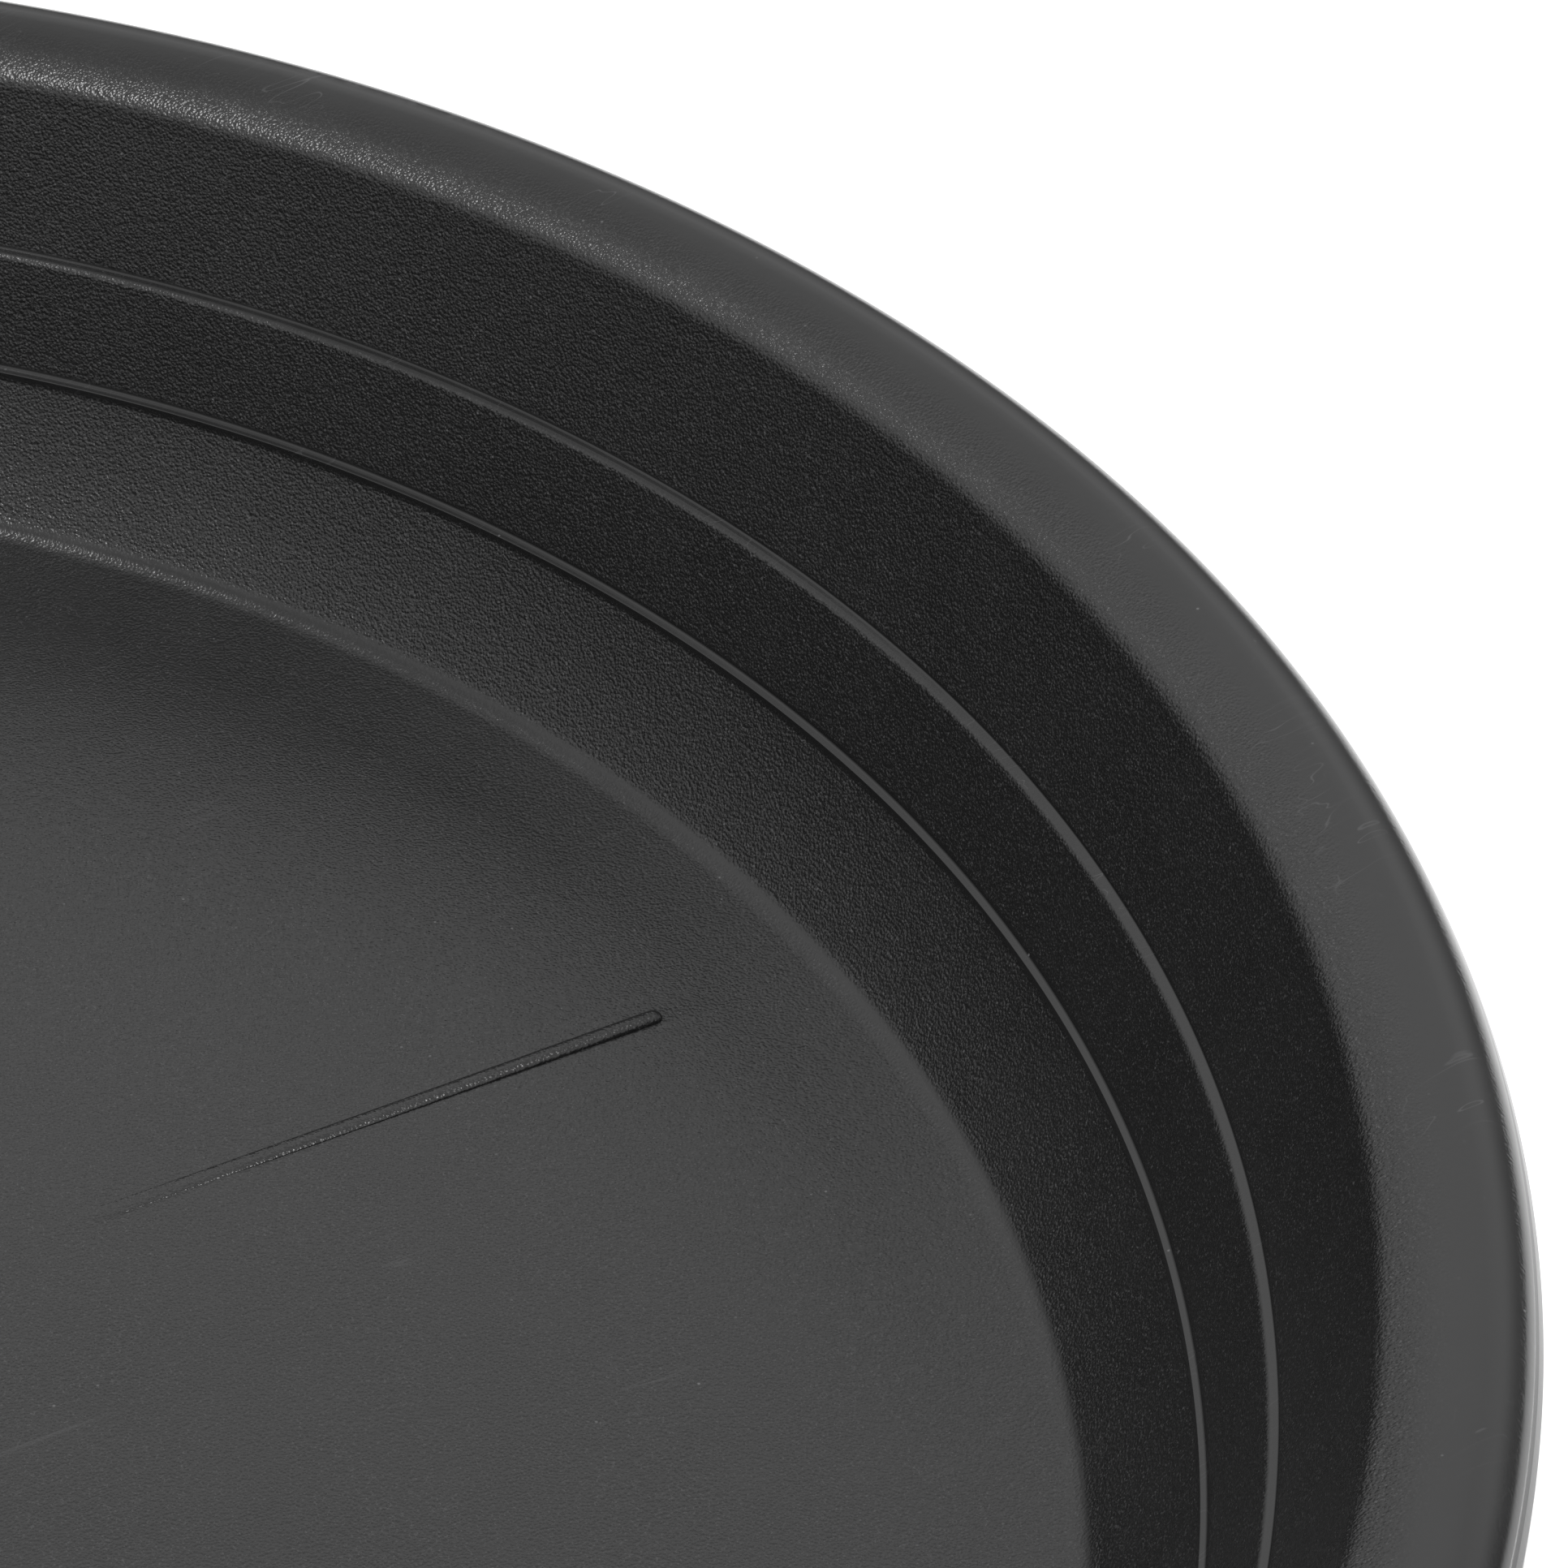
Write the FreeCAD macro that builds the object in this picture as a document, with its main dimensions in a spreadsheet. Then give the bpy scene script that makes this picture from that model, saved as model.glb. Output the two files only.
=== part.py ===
import FreeCAD, Part
import math
import os
import Sketcher

# Round low oil drain pan: a stepped, moulded pan with a rolled rim, a capped pour neck with a
# strainer, and two wire bails with turning grips that hang under the rim.
# Millimetres, +Z up. The origin is the middle of the flat bottom. The pour neck points to -Y
# and the bails sit at +X and -X.

DIMENSIONS = {
    # overall
    "rim_radius": 300.0,
    "rim_top": 75.46,
    "wall": 2.4,
    # floor: a flat middle, then a cone that falls to a crease, then a ring that rises to the corner
    "middle_radius": 120.7,
    "middle_level": 3.6,
    "crease_radius": 228.0,
    "crease_level": 2.4,
    "corner_radius": 245.4,
    "corner_level": 4.6,
    "corner_fillet": 3.6,
    # lower ledge: a small upright step, then a narrow flat
    "low_step_radius": 258.75,
    "low_step_level": 25.4,
    "low_ledge_radius": 259.05,
    "low_ledge_level": 26.75,
    "low_ledge_back": 260.1,
    "low_ledge_rise": 0.2,
    "low_ledge_root": 0.9,
    # upper ledge
    "high_ledge_radius": 266.4,
    "high_ledge_level": 44.7,
    "high_ledge_edge": 1.5,
    "high_ledge_back": 268.05,
    "high_ledge_rise": 0.25,
    "high_ledge_root": 0.5,
    # rim: the wall bends over a shoulder into a roll, which ends in a thin lip
    "bend_radius": 278.37,
    "bend_level": 71.2,
    "bend_fillet": 4.6,
    "shoulder_radius": 285.4,
    "shoulder_level": 74.32,
    "shoulder_fillet": 42.0,
    "crown_radius": 291.87,
    "roll_corner": 296.43,
    "roll_fillet": 7.1,
    "notch_radius": 298.6,
    "notch_level": 71.85,
    "notch_floor_radius": 298.72,
    "notch_floor_level": 71.15,
    "lip_root_radius": 299.25,
    "lip_level": 70.45,
    "lip_edge_radius": 299.83,
    "lip_side": 69.0,
    "lip_bottom": 64.8,
    "lip_chamfer": 0.5,
    # outside of the wall
    "foot_radius": 245.3,
    "foot_fillet": 5.0,
    "outer_low_radius": 262.66,
    "outer_low_level": 27.0,
    "outer_step_radius": 268.5,
    "outer_step_level": 43.3,
    "outer_step_back": 270.15,
    "outer_step_rise": 0.45,
    "outer_bend_radius": 280.25,
    "outer_bend_level": 69.4,
    "under_shoulder_radius": 286.1,
    "under_shoulder_level": 72.02,
    "under_roll_radius": 294.8,
    "under_roll_level": 73.5,
    # floor ribs
    "rib_count": 6.0,
    "rib_width": 2.9,
    "rib_end": 218.7,
    "rib_root": 1.0,
    "rib_lap": 2.0,
    "rib_below_middle": 0.01,
    # how far a cutting sketch stands clear of what it cuts
    "clear_above": 4.0,
    # bail lugs under the rim
    "pivot_radius": 283.0,
    "pivot_level": 56.0,
    "lug_near": 60.0,
    "lug_thickness": 8.0,
    "lug_reach": 290.0,
    "lug_bottom": 49.0,
    "lug_top": 73.5,
    "lug_root": 258.0,
    "lug_root_level": 42.5,
    "lug_nose": 5.5,
    # wire bail and its grip
    "wire_radius": 2.5,
    "pivot_clearance": 0.08,
    "bail_half_width": 50.0,
    "bail_drop": 45.0,
    "bail_bend": 8.0,
    "bail_tip": 70.0,
    "grip_radius": 7.5,
    "grip_length": 78.0,
    "grip_grooves": 5.0,
    "grip_groove_depth": 1.0,
    "grip_groove_width": 3.0,
    "grip_rounding": 1.5,
    # pour neck
    "neck_level": 43.0,
    "neck_radius": 18.0,
    "neck_bore": 15.0,
    "neck_end": 323.0,
    "neck_start": 240.0,
    "stop_radius": 20.4,
    "stop_place": 299.2,
    "stop_width": 2.2,
    "thread_radius": 19.3,
    "thread_crests": 3.0,
    "thread_place": 306.0,
    "thread_width": 1.5,
    "thread_pitch": 4.0,
    # cap and its seal
    "cap_radius": 22.0,
    "cap_bore": 19.6,
    "cap_mouth": 303.0,
    "cap_plate": 2.4,
    "cap_edge": 1.2,
    "cap_ridge": 0.9,
    "cap_ridge_count": 30.0,
    "cap_bar_length": 30.0,
    "cap_bar_width": 7.0,
    "cap_bar_height": 5.0,
    "cap_bar_root": 0.5,
    "seal_radius": 19.2,
    "seal_thickness": 2.0,
    "seal_gap": 0.05,
    # strainer
    "strainer_radius": 14.95,
    "strainer_bore": 13.2,
    "strainer_place": 278.0,
    "strainer_length": 14.0,
    "strainer_floor": 1.8,
    "strainer_hole": 2.0,
    "strainer_inner_ring": 4.95,
    "strainer_outer_ring": 9.9,
    "strainer_inner_holes": 5.0,
    "strainer_outer_holes": 11.0,
}

SMALL = 0.02
AXIS = "0"  # a point or a centre that lies on the sketch's own axis


def make_sheet(document):
    """The spreadsheet that drives every size."""
    sheet = document.addObject("Spreadsheet::Sheet", "dims")
    for row, (alias, value) in enumerate(DIMENSIONS.items(), start=1):
        sheet.set(f"A{row}", alias)
        sheet.set(f"B{row}", str(value))
        sheet.setAlias(f"B{row}", alias)
    document.recompute()
    return sheet


def size(expression):
    """The value of an expression in the sheet's aliases, each written with the dims prefix."""
    value = dims.evalExpression(expression)
    return float(getattr(value, "Value", value))


def make_body(document, label):
    body = document.addObject("PartDesign::Body", label)
    body.Label = label
    return body


def origin_plane(body, role):
    for feature in body.Origin.OriginFeatures:
        if feature.Role == role:
            return feature
    raise ValueError(role)


def make_sketch(body, name, role, offset=None):
    """A sketch on one of the body's own origin planes, moved along the plane's normal."""
    sketch = body.newObject("Sketcher::SketchObject", name)
    sketch.AttachmentSupport = [(origin_plane(body, role), "")]
    sketch.MapMode = "FlatFace"
    if offset:
        sketch.setExpression("AttachmentOffset.Base.z", offset)
    return sketch


def hold_point(sketch, index, which, across, up):
    """Ties a point of the sketch to two expressions, its distances from the sketch's origin."""
    for kind, axis, expression in (("DistanceX", -2, across), ("DistanceY", -1, up)):
        value = size(expression)
        if abs(value) < 1e-9:
            sketch.addConstraint(Sketcher.Constraint("PointOnObject", index, which, axis))
        else:
            row = sketch.addConstraint(
                Sketcher.Constraint(kind, -1, 1, index, which, value)
            )
            sketch.setExpression(f"Constraints[{row}]", expression)


def rounded_corner(before, corner, after, radius):
    """Where a rounding of a corner starts, its middle and where it ends."""
    back = (before - corner).normalize()
    onward = (after - corner).normalize()
    half_angle = back.getAngle(onward) / 2
    reach = radius / math.tan(half_angle)
    bisector = (back + onward).normalize()
    middle = corner + bisector * (radius / math.sin(half_angle) - radius)
    return corner + back * reach, middle, corner + onward * reach


def corner_vectors(corners, index):
    """The outline's direction as it comes into a corner and as it leaves."""
    before, corner = corners[index - 1], corners[index]
    after = corners[(index + 1) % len(corners)]
    return corner - before, after - corner


def draw_outline(sketch, points):
    """A closed outline of straight lines. Each corner is tied to its two expressions, and a
    third expression is the radius that rounds it."""
    corners = [FreeCAD.Vector(size(point[0]), size(point[1]), 0) for point in points]
    count = len(corners)
    starts, ends, middles = [], [], []
    for index, corner in enumerate(corners):
        start = middle = end = corner
        if len(points[index]) == 3:
            radius = size(points[index][2])
            before, after = corners[index - 1], corners[(index + 1) % count]
            start, middle, end = rounded_corner(before, corner, after, radius)
        starts.append(start)
        middles.append(middle)
        ends.append(end)
    for index in range(count):
        line = Part.LineSegment(ends[index], starts[(index + 1) % count])
        sketch.addGeometry(line, False)
    for index, point in enumerate(points):
        line_before = (index - 1) % count
        if len(point) == 2:
            join = Sketcher.Constraint("Coincident", line_before, 2, index, 1)
            sketch.addConstraint(join)
            hold_point(sketch, index, 1, point[0], point[1])
            continue
        tip = sketch.addGeometry(Part.Point(corners[index]), True)
        hold_point(sketch, tip, 1, point[0], point[1])
        sketch.addConstraint(Sketcher.Constraint("PointOnObject", tip, 1, line_before))
        sketch.addConstraint(Sketcher.Constraint("PointOnObject", tip, 1, index))
        incoming, outgoing = corner_vectors(corners, index)
        if incoming.cross(outgoing).z > 0:
            near, far = 1, 2
            rounding = Part.Arc(starts[index], middles[index], ends[index])
        else:
            near, far = 2, 1
            rounding = Part.Arc(ends[index], middles[index], starts[index])
        arc = sketch.addGeometry(rounding, False)
        sketch.addConstraint(Sketcher.Constraint("Tangent", line_before, 2, arc, near))
        sketch.addConstraint(Sketcher.Constraint("Tangent", arc, far, index, 1))
        row = sketch.addConstraint(Sketcher.Constraint("Radius", arc, size(point[2])))
        sketch.setExpression(f"Constraints[{row}]", point[2])


def draw_circle(sketch, across, up, radius):
    """A circle tied to its centre and its radius."""
    centre = FreeCAD.Vector(size(across), size(up), 0)
    circle = Part.Circle(centre, FreeCAD.Vector(0, 0, 1), size(radius))
    index = sketch.addGeometry(circle, False)
    row = sketch.addConstraint(Sketcher.Constraint("Radius", index, size(radius)))
    sketch.setExpression(f"Constraints[{row}]", radius)
    hold_point(sketch, index, 3, across, up)


def turn(body, kind, name, sketch, axis="V_Axis"):
    """A full turn of a sketch about one of its own axes: a Revolution or a Groove."""
    feature = body.newObject(f"PartDesign::{kind}", name)
    feature.Profile = sketch
    feature.ReferenceAxis = (sketch, [axis])
    feature.Angle = 360.0
    body.Document.recompute()
    return feature


def raise_sketch(body, name, sketch, length, midplane=False, reverse=False):
    """A Pad of the sketch."""
    pad = body.newObject("PartDesign::Pad", name)
    pad.Profile = sketch
    pad.setExpression("Length", length)
    pad.Midplane = midplane
    pad.Reversed = reverse
    body.Document.recompute()
    return pad


def cut_sketch(body, name, sketch, length, midplane=False, reverse=False):
    """A Pocket of the sketch, which has to take material away."""
    before = body.Tip.Shape.Volume
    pocket = body.newObject("PartDesign::Pocket", name)
    pocket.Profile = sketch
    pocket.setExpression("Length", length)
    pocket.Midplane = midplane
    pocket.Reversed = reverse
    body.Document.recompute()
    assert pocket.Shape.Volume < before - 1.0, f"{name} cuts nothing"
    return pocket


def round_edges(body, name, radius, wanted):
    """A Fillet of the edges that a test picks."""
    base = body.Tip
    edges = enumerate(base.Shape.Edges, start=1)
    found = [f"Edge{number}" for number, edge in edges if wanted(edge)]
    assert found, f"{name} finds no edge"
    fillet = body.newObject("PartDesign::Fillet", name)
    fillet.Base = (base, found)
    fillet.setExpression("Radius", radius)
    body.Document.recompute()
    return fillet


def repeat_round(body, name, feature, axis_object, count):
    """A PolarPattern of a feature over a full turn."""
    pattern = body.newObject("PartDesign::PolarPattern", name)
    pattern.Originals = [feature]
    pattern.Axis = axis_object
    pattern.Angle = 360.0
    pattern.setExpression("Occurrences", count)
    body.Tip = pattern
    body.Document.recompute()
    return pattern


# ---------------------------------------------------------------- pan


def pan_outside(body):
    """The pan's outer form, still filled: bottom, wall, underside of the rim, lip and roll."""
    sketch = make_sketch(body, "outside_outline", "XZ_Plane")
    draw_outline(
        sketch,
        [
            (AXIS, AXIS),
            ("dims.foot_radius", AXIS, "dims.foot_fillet"),
            ("dims.outer_low_radius", "dims.outer_low_level"),
            ("dims.outer_step_radius", "dims.outer_step_level"),
            ("dims.outer_step_back", "dims.outer_step_level + dims.outer_step_rise"),
            ("dims.outer_bend_radius", "dims.outer_bend_level"),
            ("dims.under_shoulder_radius", "dims.under_shoulder_level"),
            ("dims.under_roll_radius", "dims.under_roll_level"),
            ("dims.rim_radius - dims.wall", "dims.lip_side"),
            ("dims.rim_radius - dims.wall", "dims.lip_bottom"),
            ("dims.rim_radius - dims.lip_chamfer", "dims.lip_bottom"),
            ("dims.rim_radius", "dims.lip_bottom + dims.lip_chamfer"),
            ("dims.rim_radius", "dims.lip_side - dims.lip_chamfer"),
            ("dims.lip_edge_radius", "dims.lip_side"),
            ("dims.lip_root_radius", "dims.lip_level"),
            ("dims.notch_floor_radius", "dims.notch_floor_level"),
            ("dims.notch_radius", "dims.notch_level"),
            ("dims.roll_corner", "dims.rim_top", "dims.roll_fillet"),
            (AXIS, "dims.rim_top"),
        ],
    )
    turn(body, "Revolution", "outside", sketch)


def pan_lugs(body):
    """Four lugs under the rim, two for each wire bail."""
    for side, across in (("right", 1), ("left", -1)):
        for end, along in (("front", -1), ("back", 1)):
            name = f"{side}_{end}_lug"
            start = "dims.lug_near" if along < 0 else "-dims.lug_near"
            sketch = make_sketch(body, f"{name}_outline", "XZ_Plane", start)
            draw_outline(
                sketch,
                [
                    (f"{across} * dims.lug_root", "dims.lug_root_level"),
                    (f"{across} * dims.pivot_radius", "dims.lug_bottom"),
                    (f"{across} * dims.lug_reach", "dims.lug_bottom"),
                    (f"{across} * dims.lug_reach", "dims.lug_top"),
                    (f"{across} * dims.lug_root", "dims.lug_top"),
                ],
            )
            raise_sketch(body, name, sketch, "dims.lug_thickness", reverse=along > 0)

    def nose(edge):
        box = edge.BoundBox
        return (
            box.ZLength < SMALL
            and box.XLength < SMALL
            and abs(box.ZMax - size("dims.lug_bottom")) < SMALL
            and abs(abs(box.XMax) - size("dims.lug_reach")) < SMALL
        )

    round_edges(body, "lug_noses", "dims.lug_nose", nose)


def pan_neck(body):
    """The pour neck: a tube through the front wall with a stop collar and thread crests."""
    sketch = make_sketch(body, "neck_circle", "XZ_Plane", "dims.neck_start")
    draw_circle(sketch, AXIS, "dims.neck_level", "dims.neck_radius")
    raise_sketch(body, "neck", sketch, "dims.neck_end - dims.neck_start")
    sketch = make_sketch(body, "stop_circle", "XZ_Plane", "dims.stop_place")
    draw_circle(sketch, AXIS, "dims.neck_level", "dims.stop_radius")
    raise_sketch(body, "neck_stop", sketch, "dims.stop_width")
    for number in range(int(size("dims.thread_crests"))):
        place = f"dims.thread_place + {number} * dims.thread_pitch"
        sketch = make_sketch(body, f"thread_circle_{number}", "XZ_Plane", place)
        draw_circle(sketch, AXIS, "dims.neck_level", "dims.thread_radius")
        raise_sketch(body, f"thread_crest_{number}", sketch, "dims.thread_width")


def pan_inside(body):
    """The cavity: floor, corner, two narrow ledges, wall, bend and shoulder of the rim."""
    sketch = make_sketch(body, "inside_outline", "XZ_Plane")
    draw_outline(
        sketch,
        [
            (AXIS, "dims.middle_level"),
            ("dims.middle_radius", "dims.middle_level"),
            ("dims.crease_radius", "dims.crease_level"),
            ("dims.corner_radius", "dims.corner_level", "dims.corner_fillet"),
            ("dims.low_step_radius", "dims.low_step_level"),
            ("dims.low_ledge_radius", "dims.low_ledge_level"),
            ("dims.low_ledge_back", "dims.low_ledge_level + dims.low_ledge_rise", "dims.low_ledge_root"),
            ("dims.high_ledge_radius", "dims.high_ledge_level", "dims.high_ledge_edge"),
            ("dims.high_ledge_back", "dims.high_ledge_level + dims.high_ledge_rise", "dims.high_ledge_root"),
            ("dims.bend_radius", "dims.bend_level", "dims.bend_fillet"),
            ("dims.shoulder_radius", "dims.shoulder_level", "dims.shoulder_fillet"),
            ("dims.crown_radius", "dims.rim_top"),
            ("dims.crown_radius", "dims.rim_top + dims.clear_above"),
            (AXIS, "dims.rim_top + dims.clear_above"),
        ],
    )
    before = body.Tip.Shape.Volume
    groove = turn(body, "Groove", "inside", sketch)
    assert groove.Shape.Volume < 0.3 * before, "the cavity cuts too little"


def pan_ribs(body):
    """Radial ribs on the falling part of the floor, their tops level with the middle."""
    sketch = make_sketch(body, "rib_outline", "XY_Plane", "dims.crease_level - dims.rib_root")
    half = "dims.rib_width / 2"
    start = "dims.middle_radius - dims.rib_lap"
    rise = "dims.middle_level - dims.rib_below_middle - dims.crease_level + dims.rib_root"
    draw_outline(
        sketch,
        [
            (f"-{half}", start),
            (half, start),
            (half, "dims.rib_end"),
            (f"-{half}", "dims.rib_end"),
        ],
    )
    rib = raise_sketch(body, "rib", sketch, rise)
    repeat_round(body, "ribs", rib, (origin_plane(body, "Z_Axis"), [""]), "dims.rib_count")


def make_pan(document):
    """The one-piece pan moulding."""
    body = make_body(document, "pan_body")
    pan_outside(body)
    pan_lugs(body)
    pan_neck(body)
    pan_inside(body)
    pan_ribs(body)
    sketch = make_sketch(body, "bore_circle", "XZ_Plane", "dims.neck_end + dims.clear_above")
    draw_circle(sketch, AXIS, "dims.neck_level", "dims.neck_bore")
    cut_sketch(body, "neck_bore", sketch, "dims.neck_end + dims.clear_above - dims.neck_start")
    sketch = make_sketch(body, "pivot_circles", "XZ_Plane")
    hole = "dims.wire_radius + dims.pivot_clearance"
    draw_circle(sketch, "dims.pivot_radius", "dims.pivot_level", hole)
    draw_circle(sketch, "-dims.pivot_radius", "dims.pivot_level", hole)
    cut_sketch(body, "pivot_holes", sketch, "2 * (dims.bail_tip + dims.clear_above)", midplane=True)
    return body


# ---------------------------------------------------------------- bails and grips


def bail_path(side):
    """The wire's centre line: tip, arm, bar, arm and tip, joined by arcs."""
    across = side * size("dims.pivot_radius")
    tip, arm, bend = size("dims.bail_tip"), size("dims.bail_half_width"), size("dims.bail_bend")
    top = size("dims.pivot_level")
    bar = size("dims.pivot_level - dims.bail_drop")
    places = [(tip, top), (arm, top), (arm, bar), (-arm, bar), (-arm, top), (-tip, top)]
    corners = [FreeCAD.Vector(across, along, up) for along, up in places]
    edges = []
    start = corners[0]
    for before, corner, after in zip(corners, corners[1:], corners[2:]):
        arc_start, middle, arc_end = rounded_corner(before, corner, after, bend)
        edges.append(Part.LineSegment(start, arc_start).toShape())
        edges.append(Part.Arc(arc_start, middle, arc_end).toShape())
        start = arc_end
    edges.append(Part.LineSegment(start, corners[-1]).toShape())
    return Part.Wire(edges)


def make_bail(document, label, side):
    """A bent wire bail, its tips turned outwards through the lugs."""
    path = bail_path(side)
    radius = size("dims.wire_radius")
    section = Part.Circle(path.Vertexes[0].Point, FreeCAD.Vector(0, 1, 0), radius)
    wire = path.makePipeShell([Part.Wire(section.toShape())], True, False)
    expected = math.pi * radius ** 2 * path.Length
    assert abs(wire.Volume - expected) < 0.01 * expected, "the bail's wire is not whole"
    bail = document.addObject("Part::Feature", label)
    bail.Label = label
    bail.Shape = wire
    bail.Placement = FreeCAD.Placement()
    return bail


def make_grip(document, label, side):
    """A moulded tube on the bail's bar, with a groove between each pair of fingers."""
    body = make_body(document, label)
    sketch = make_sketch(body, f"{label}_ring", "XZ_Plane", "-dims.grip_length / 2")
    level = "dims.pivot_level - dims.bail_drop"
    centre = f"{side} * dims.pivot_radius"
    draw_circle(sketch, centre, level, "dims.grip_radius")
    draw_circle(sketch, centre, level, "dims.wire_radius + dims.pivot_clearance")
    raise_sketch(body, f"{label}_tube", sketch, "dims.grip_length")
    grooves = int(size("dims.grip_grooves"))
    for number in range(grooves):
        steps = number - (grooves - 1) / 2
        place = f"{steps} * dims.grip_length / {grooves + 1} - dims.grip_groove_width / 2"
        groove = make_sketch(body, f"{label}_groove_ring_{number}", "XZ_Plane", place)
        draw_circle(groove, centre, level, "dims.grip_radius + dims.clear_above")
        draw_circle(groove, centre, level, "dims.grip_radius - dims.grip_groove_depth")
        cut_sketch(
            body,
            f"{label}_groove_{number}",
            groove,
            "dims.grip_groove_width",
            reverse=True,
        )

    def end_edge(edge):
        box = edge.BoundBox
        wide = abs(box.ZLength - 2 * size("dims.grip_radius")) < SMALL
        return wide and abs(abs(box.YMax) - size("dims.grip_length / 2")) < SMALL

    round_edges(body, f"{label}_ends", "dims.grip_rounding", end_edge)
    return body


# ---------------------------------------------------------------- cap, seal and strainer


def make_cap(document):
    """The screw cap: a ridged skirt, a closed end and a bar to turn it by."""
    body = make_body(document, "spout_cap")
    plate_inside = "dims.neck_end + 2 * dims.seal_gap + dims.seal_thickness"
    end = f"{plate_inside} + dims.cap_plate"
    sketch = make_sketch(body, "cap_circle", "XZ_Plane", "dims.cap_mouth")
    draw_circle(sketch, AXIS, "dims.neck_level", "dims.cap_radius")
    raise_sketch(body, "cap_blank", sketch, f"{end} - dims.cap_mouth")

    def end_edge(edge):
        box = edge.BoundBox
        return box.YLength < SMALL and abs(box.YMin + size(end)) < SMALL

    round_edges(body, "cap_edge_rounding", "dims.cap_edge", end_edge)
    sketch = make_sketch(body, "cap_ridge_circle", "XZ_Plane", "dims.cap_mouth")
    draw_circle(
        sketch,
        AXIS,
        "dims.neck_level + dims.cap_radius",
        "dims.cap_ridge",
    )
    ridge = raise_sketch(
        body, "cap_ridge", sketch, f"{end} - dims.cap_mouth - 2 * dims.cap_edge"
    )
    axis = body.newObject("PartDesign::Line", "cap_axis")
    axis.MapMode = "Deactivated"
    axis.setExpression("Placement.Base.z", "dims.neck_level")
    axis.Placement.Rotation = FreeCAD.Rotation(FreeCAD.Vector(1, 0, 0), -90)
    document.recompute()
    repeat_round(body, "cap_ridges", ridge, (axis, [""]), "dims.cap_ridge_count")
    sketch = make_sketch(body, "cap_bar_outline", "XZ_Plane", f"{end} - dims.cap_bar_root")
    half_length = "dims.cap_bar_length / 2"
    half_width = "dims.cap_bar_width / 2"
    draw_outline(
        sketch,
        [
            (f"-{half_length}", f"dims.neck_level - {half_width}"),
            (half_length, f"dims.neck_level - {half_width}"),
            (half_length, f"dims.neck_level + {half_width}"),
            (f"-{half_length}", f"dims.neck_level + {half_width}"),
        ],
    )
    raise_sketch(body, "cap_bar", sketch, "dims.cap_bar_height + dims.cap_bar_root")

    def bar_edge(edge):
        box = edge.BoundBox
        return abs(box.YMin + size(f"{end} + dims.cap_bar_height")) < SMALL

    round_edges(body, "cap_bar_rounding", "dims.cap_edge", bar_edge)
    sketch = make_sketch(body, "cap_bore_circle", "XZ_Plane", "dims.cap_mouth")
    draw_circle(sketch, AXIS, "dims.neck_level", "dims.cap_bore")
    cut_sketch(
        body, "cap_bore", sketch, f"{plate_inside} - dims.cap_mouth", reverse=True
    )
    return body


def make_seal(document):
    """The flat rubber seal between the neck's end and the cap."""
    body = make_body(document, "cap_seal")
    sketch = make_sketch(body, "seal_circle", "XZ_Plane", "dims.neck_end + dims.seal_gap")
    draw_circle(sketch, AXIS, "dims.neck_level", "dims.seal_radius")
    raise_sketch(body, "seal_disc", sketch, "dims.seal_thickness")
    return body


def make_strainer(document):
    """The strainer cup that is pushed into the neck: a ring with a perforated end."""
    body = make_body(document, "spout_strainer")
    sketch = make_sketch(body, "strainer_circle", "XZ_Plane", "dims.strainer_place")
    draw_circle(sketch, AXIS, "dims.neck_level", "dims.strainer_radius")
    raise_sketch(body, "strainer_blank", sketch, "dims.strainer_length")
    sketch = make_sketch(
        body,
        "strainer_bore_circle",
        "XZ_Plane",
        "dims.strainer_place + dims.strainer_floor",
    )
    draw_circle(sketch, AXIS, "dims.neck_level", "dims.strainer_bore")
    cut_sketch(body, "strainer_bore", sketch, "dims.strainer_length", reverse=True)
    sketch = make_sketch(body, "strainer_holes", "XZ_Plane", "dims.strainer_place - dims.clear_above")
    draw_circle(sketch, AXIS, "dims.neck_level", "dims.strainer_hole")
    for ring in ("inner", "outer"):
        holes = int(size(f"dims.strainer_{ring}_holes"))
        for number in range(holes):
            angle = f"{number} * 360deg / {holes}"
            across = f"dims.strainer_{ring}_ring * sin({angle})"
            up = f"dims.neck_level + dims.strainer_{ring}_ring * cos({angle})"
            draw_circle(sketch, across, up, "dims.strainer_hole")
    cut_sketch(
        body, "strainer_perforation", sketch, "dims.strainer_floor + dims.clear_above", reverse=True
    )
    return body


def export_parts(document, bodies):
    """Checks every object, then writes one STEP file for each sub-part."""
    document.recompute()
    for item in document.Objects:
        state = set(item.State)
        assert not state & {"Invalid", "Error"}, f"{item.Name}: {state}"
    os.makedirs("parts", exist_ok=True)
    for body in bodies:
        shape = body.Shape
        assert not shape.isNull() and shape.isValid(), body.Label
        assert len(shape.Solids) == 1, f"{body.Label}: {len(shape.Solids)} solids"
        shape.exportStep(f"parts/{body.Label}.step")
        box = shape.BoundBox
        print(
            f"{body.Label}: {shape.Volume / 1000:.1f} cm3,"
            f" x {box.XMin:.1f}..{box.XMax:.1f},"
            f" y {box.YMin:.1f}..{box.YMax:.1f},"
            f" z {box.ZMin:.1f}..{box.ZMax:.1f}"
        )


doc = FreeCAD.newDocument("drain_pan")
dims = make_sheet(doc)
parts = [
    make_pan(doc),
    make_bail(doc, "right_bail", 1),
    make_bail(doc, "left_bail", -1),
    make_grip(doc, "right_grip", 1),
    make_grip(doc, "left_grip", -1),
    make_cap(doc),
    make_seal(doc),
    make_strainer(doc),
]
export_parts(doc, parts)
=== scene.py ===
import math

import bmesh
import bpy
from mathutils import Matrix, Vector


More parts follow.
